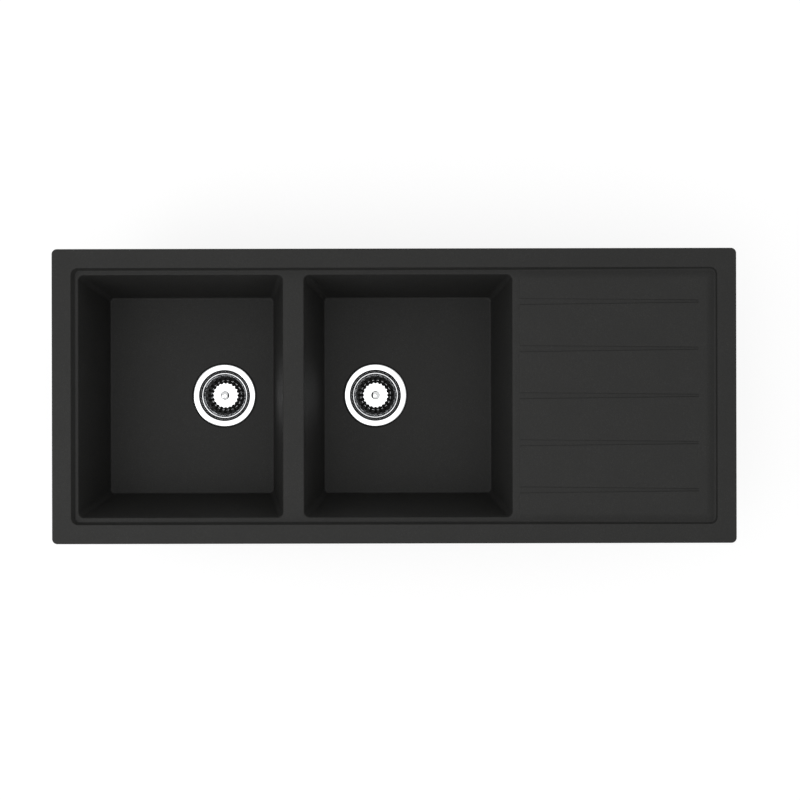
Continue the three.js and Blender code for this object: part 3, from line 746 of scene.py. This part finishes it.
def housing(side, material):
    s, p = under["housing"], under["spider"]
    wall = s["wall"]
    outer = [
        (s["flange"], s["top"], 0.6), (s["flange"], s["top"] - s["flangeThick"], 0.8),
        (s["inner"] + wall, s["top"] - s["flangeThick"], 1.5), (s["inner"] + wall, s["coneTop"], 4),
        (s["outletOuter"], s["coneEnd"], 4), (s["outletOuter"], s["end"], 0.6),
    ]
    inner = [
        (s["outletInner"], s["end"]), (s["outletInner"], s["coneEnd"] + wall, 3),
        (s["inner"], s["coneTop"] + wall, 3), (s["inner"], s["top"]),
    ]
    hub = turned([(0, p["low"]), (p["hub"], p["low"], 0.6), (p["hub"], p["high"], 0.6),
                  (0, p["high"])], 64, 3)
    half = p["thick"] / 2
    reach = s["inner"] + wall / 2
    arms = repeated(lambda: block((4, -half, p["low"] + p["raise"]), (reach, half, p["high"])),
                    p["arms"], math.pi / p["arms"])
    spider = combined(combined(hub, arms, "UNION"), turned([(0, s["top"]), *outer, (0, s["end"])], 96, 6),
                      "INTERSECT")
    for hole in (rod(p["insertHole"], p["low"] - past, p["insertTop"]),
                 rod(p["screwHole"], p["low"] - past, p["high"] + past)):
        spider = combined(spider, hole, "DIFFERENCE")
    shell = combined(turned([*outer, *inner], 96, 6), spider, "UNION")
    return finishWaste(side, "waste_housing", shell, material)


def clampScrew(side, material):
    s = under["screw"]
    shape = turned([(0, s["end"]), (s["radius"], s["end"], 0.8), (s["radius"], s["seat"]),
                    (s["head"], s["seat"]), (s["head"], s["headTop"], 1), (s["bore"], s["headTop"]),
                    (s["bore"], s["boreEnd"]), (0, s["boreEnd"])], 64, 4)
    socket = bmesh.new()
    bmesh.ops.create_cone(socket, cap_ends=True, segments=6, radius1=s["socket"], radius2=s["socket"],
                          depth=2 * s["socketDepth"])
    shape = combined(shape, moved(socket, (0, 0, s["headTop"])), "DIFFERENCE")
    return finishWaste(side, "clamp_screw", shape, material)


def coupling(side, material):
    s = under["coupling"]
    shape = turned([(s["lip"], s["low"], 0.5), (s["outer"], s["low"], 1.2), (s["outer"], s["high"], 0.8),
                    (s["inner"], s["high"], 0.5), (s["inner"], s["lipTop"]), (s["lip"], s["lipTop"])], 96, 4)

    def rib():
        half, (fromLow, fromHigh) = s["ribWidth"] / 2, s["ribEnds"]
        made = block((s["outer"] - s["ribRoot"], -half, s["low"] + fromLow),
                     (s["outer"] + s["ribHeight"], half, s["high"] - fromHigh))
        roundEdges(made, made.edges[:], s["ribRound"], 4)
        return made
    shape = combined(shape, repeated(rib, s["ribs"]), "UNION")
    return finishWaste(side, "outlet_coupling", shape, material)


# The second steel is the darker one for the low part of the flange's cup: painted shade.
def basketWaste(side, steel, shadeSteel, brass, plastic, black):
    flange(side, steel, shadeSteel)
    basket(side, steel)
    knob(side, steel)
    stemParts(side, steel, black)
    stopperParts(side, steel, black)
    finishWaste(side, "flange_gasket", plainRing(under["gasket"], 0.4), black)
    finishWaste(side, "under_gasket", plainRing(under["lowerGasket"], 0.8), black)
    finishWaste(side, "outlet_seal", plainRing(under["seal"], 0.5), black)
    finishWaste(side, "screw_insert", plainRing(under["insert"], 0.3, 64), brass)
    housing(side, plastic)
    clampScrew(side, steel)
    coupling(side, plastic)


# A fixing clip: a bent steel arm that swivels on a hexagon screw, in a brass insert.

clip = {
    "width": 16, "thick": 2.5, "top": -50, "padTop": -38, "riser": 22, "pad": 14, "back": 8,
    "bend": 1.6, "endRound": 4, "edge": 0.35, "hole": 2.8,
    "screw": {"radius": 2.5, "core": 2.08, "pitch": 0.8, "low": -52.8, "top": -17.3, "threadTop": -29.5,
              "head": 4.6, "headHeight": 3, "chamfer": 0.55,
              # the thread: half widths as shares of its pitch, and how deep its root sits in the core
              "foot": 0.42, "crest": 0.08, "sunk": 0.1},
    "insert": {"outer": 4.2, "inner": 2.8, "low": -29, "high": -17},
}


def clipArm():
    c = clip
    bottom, padLow = c["top"] - c["thick"], c["padTop"] - c["thick"]
    inside, outside = c["bend"], c["bend"] + c["thick"] * 0.8
    shape = outlined([
        (-c["back"], bottom), (c["riser"], bottom, outside), (c["riser"], padLow, inside),
        (c["riser"] + c["pad"], padLow), (c["riser"] + c["pad"], c["padTop"]),
        (c["riser"] - c["thick"], c["padTop"], outside), (c["riser"] - c["thick"], c["top"], inside),
        (-c["back"], c["top"]),
    ], 6)
    made = bmesh.ops.extrude_face_region(shape, geom=shape.faces[:])["geom"]
    points = [v for v in made if isinstance(v, bmesh.types.BMVert)]
    bmesh.ops.translate(shape, vec=(0, c["width"], 0), verts=points)
    bmesh.ops.translate(shape, vec=(0, -c["width"] / 2, 0), verts=shape.verts[:])
    bmesh.ops.recalc_face_normals(shape, faces=shape.faces[:])
    middle, reach = (c["riser"] + c["pad"] - c["back"]) / 2, (c["riser"] + c["pad"] + c["back"]) / 2
    ends = [e for e in uprightEdges(shape) if abs(e.verts[0].co.x - middle) > reach - 0.1]
    roundEdges(shape, ends, c["endRound"], 8)
    hard = [e for e in shape.edges if e.calc_face_angle(0) > math.radians(60)]
    roundEdges(shape, hard, c["edge"], 2)
    return combined(shape, rod(c["hole"], bottom - past, c["top"] + past), "DIFFERENCE")


def clipScrew():
    s = clip["screw"]
    low = s["low"] - s["headHeight"]
    head = bmesh.new()
    bmesh.ops.create_cone(head, cap_ends=True, segments=6, radius1=s["head"], radius2=s["head"],
                          depth=s["headHeight"])
    moved(head, (0, 0, low + s["headHeight"] / 2))
    chamfer = turned([(0, low), (s["head"], low, s["chamfer"]), (s["head"], s["low"] + past),
                      (0, s["low"] + past)], 64, 3)
    head = combined(head, chamfer, "INTERSECT")
    shank = turned([(0, s["low"] - 0.5), (s["core"], s["low"] - 0.5), (s["core"], s["top"], 0.3),
                    (0, s["top"])], 32, 2)
    # one run of thread, wound up the shank
    thread = bmesh.new()
    wide, narrow, root = s["pitch"] * s["foot"], s["pitch"] * s["crest"], s["core"] - s["sunk"]
    corners = [(root, -wide), (s["radius"], -narrow), (s["radius"], narrow), (root, wide)]
    points = [thread.verts.new((r, 0, s["low"] + wide + h)) for r, h in corners]
    for i, point in enumerate(points):
        thread.edges.new((points[i - 1], point))
    turns = int((s["threadTop"] - s["low"]) / s["pitch"]) - 1
    steps = 16
    bmesh.ops.spin(thread, geom=thread.verts[:] + thread.edges[:], cent=(0, 0, 0), axis=(0, 0, 1),
                   dvec=(0, 0, s["pitch"] / steps), angle=math.tau * turns, steps=steps * turns)
    bmesh.ops.holes_fill(thread, edges=[e for e in thread.edges if e.is_boundary], sides=4)
    bmesh.ops.recalc_face_normals(thread, faces=thread.faces[:])
    return together([combined(head, shank, "UNION"), thread])


def fixingClip(joint, steel, brass):
    name, place = joint["name"].removesuffix("_swivel"), screwPlace(joint)
    armLow, armHigh = cadSize(f"{name}_arm")
    away = (armLow + armHigh) / 2 - place
    turn = math.atan2(away.y, away.x)
    finishPiece(f"{name}_arm_visual", moved(clipArm(), place, turn), steel, joint["child"],
                [f"{name}_arm"])
    finishPiece(f"{name}_screw_visual", moved(clipScrew(), place), steel, "root",
                [f"{name}_screw"])
    finishPiece(f"{name}_insert_visual", moved(plainRing(clip["insert"], 0.3, 48), place), brass,
                "root", [f"{name}_insert"])


sinkBody(compositeMaterial())
print("casting done")

zincPlated = patchyFinish("zinc_plated_steel", zinc, {"Metallic": 1})
# A darker steel for the low part of the flange's cup: painted shade.
shadedCupSteel = patchyFinish("painted_shade_steel", shadedCupLook, {"Metallic": 1})
brassTurned = patchyFinish("turned_brass", brassFinish, {"Metallic": 1})
plasticMoulded = patchyFinish("moulded_polypropylene", plastic, {"Specular IOR Level": 0.45})
rubberMoulded = patchyFinish("moulded_rubber", rubber, {"Specular IOR Level": 0.35})
for side in sides:
    centre = Vector((drains[side], 0, 0))
    basketWaste(side, polishedMaterial(f"polished_stainless_{side}", centre), shadedCupSteel, brassTurned,
                plasticMoulded, rubberMoulded)
print("wastes done")

for joint in clipJoints:
    fixingClip(joint, zincPlated, brassTurned)
print("clips done")


# Camera, floor and light.

view = {
    "at": (10, 25.4, 3134),  # straight above the sink
    "turn": -0.12,           # degrees
    "lens": 83.07,
    "shift": (0, -0.02375),  # the photograph's middle is a little to the front
    "far": 100,              # m
}
studio = {  # metres and watts
    "floor": {"size": 14, "below": 0.001, "roughness": 0.9, "specular": 0.1,
              "white": (0.75, 0.3),  # its colour where it lights the sink, and where it is seen
              "glow": 0.78},         # added where it is seen, so that it looks white
    "sky": 0.7,
    "overhead": {"at": (-0.35, -0.25, 2.4), "size": (1.8, 1.3), "power": 9.5},
    "key": {"at": (-1.3, -0.5, 1.3), "size": (0.9, 0.9), "power": 5.5},
}


def addCamera():
    data = bpy.data.cameras.new("camera")
    data.lens = view["lens"]
    data.shift_x, data.shift_y = view["shift"]
    data.clip_end = view["far"]
    camera = bpy.data.objects.new("camera", data)
    camera.location = Vector(view["at"]) * mm
    camera.rotation_euler = (0, 0, math.radians(view["turn"]))
    scene.collection.objects.link(camera)
    scene.camera = camera


def addLamp(name, at, size, power):
    data = bpy.data.lights.new(name, "AREA")
    data.shape = "RECTANGLE"
    data.size, data.size_y = size
    data.energy = power
    lamp = bpy.data.objects.new(name, data)
    lamp.location = at
    lamp.rotation_euler = (-Vector(at)).to_track_quat("-Z", "Y").to_euler()
    scene.collection.objects.link(lamp)


def seenRays(tree):  # 1 for the rays that show the background: the camera's, mirrored and through glass
    path = addNode(tree, "ShaderNodeLightPath").outputs
    mirrored = addNode(tree, "ShaderNodeMath", {0: path["Is Glossy Ray"], 1: path["Is Transmission Ray"]},
                       operation="ADD")
    return addNode(tree, "ShaderNodeMath", {0: path["Is Camera Ray"], 1: mirrored.outputs["Value"]},
                   operation="ADD").outputs["Value"]


def addSky():
    world = bpy.data.worlds.new("white_studio")
    world.use_nodes = True
    tree = world.node_tree
    background = tree.nodes["Background"]
    background.inputs["Color"].default_value = (1, 1, 1, 1)
    strength = addNode(tree, "ShaderNodeMapRange", {
        "Value": seenRays(tree), "To Min": studio["sky"], "To Max": 1})
    tree.links.new(strength.outputs["Result"], background.inputs["Strength"])
    scene.world = world


def addFloor():  # just below the couplings, so that it never lies in their end faces
    s, shape = studio["floor"], bmesh.new()
    bmesh.ops.create_grid(shape, x_segments=1, y_segments=1, size=s["size"] / 2)
    bmesh.ops.translate(shape, vec=(0, 0, cadBox[0][2] - s["below"]), verts=shape.verts[:])
    floor = asObject(shape)
    floor.name = "floor"
    material = bpy.data.materials.new("matt_white_floor")
    material.use_nodes = True
    tree = material.node_tree
    shader = tree.nodes["Principled BSDF"]
    shader.inputs["Roughness"].default_value = s["roughness"]
    shader.inputs["Specular IOR Level"].default_value = s["specular"]
    shader.inputs["Emission Color"].default_value = (1, 1, 1, 1)
    seen, (lighting, looking) = seenRays(tree), s["white"]
    shade = addNode(tree, "ShaderNodeMapRange", {"Value": seen, "To Min": lighting, "To Max": looking})
    colour = addNode(tree, "ShaderNodeCombineColor", {name: shade.outputs["Result"] for name in
                                                      ("Red", "Green", "Blue")})
    tree.links.new(colour.outputs["Color"], shader.inputs["Base Color"])
    glow = addNode(tree, "ShaderNodeMapRange", {"Value": seen, "To Min": 0, "To Max": s["glow"]})
    tree.links.new(glow.outputs["Result"], shader.inputs["Emission Strength"])
    floor.data.materials.append(material)


scene.view_settings.view_transform = "Standard"
addCamera()
addSky()
addFloor()
for name in ("overhead", "key"):
    addLamp(name, **studio[name])
print("studio ready")
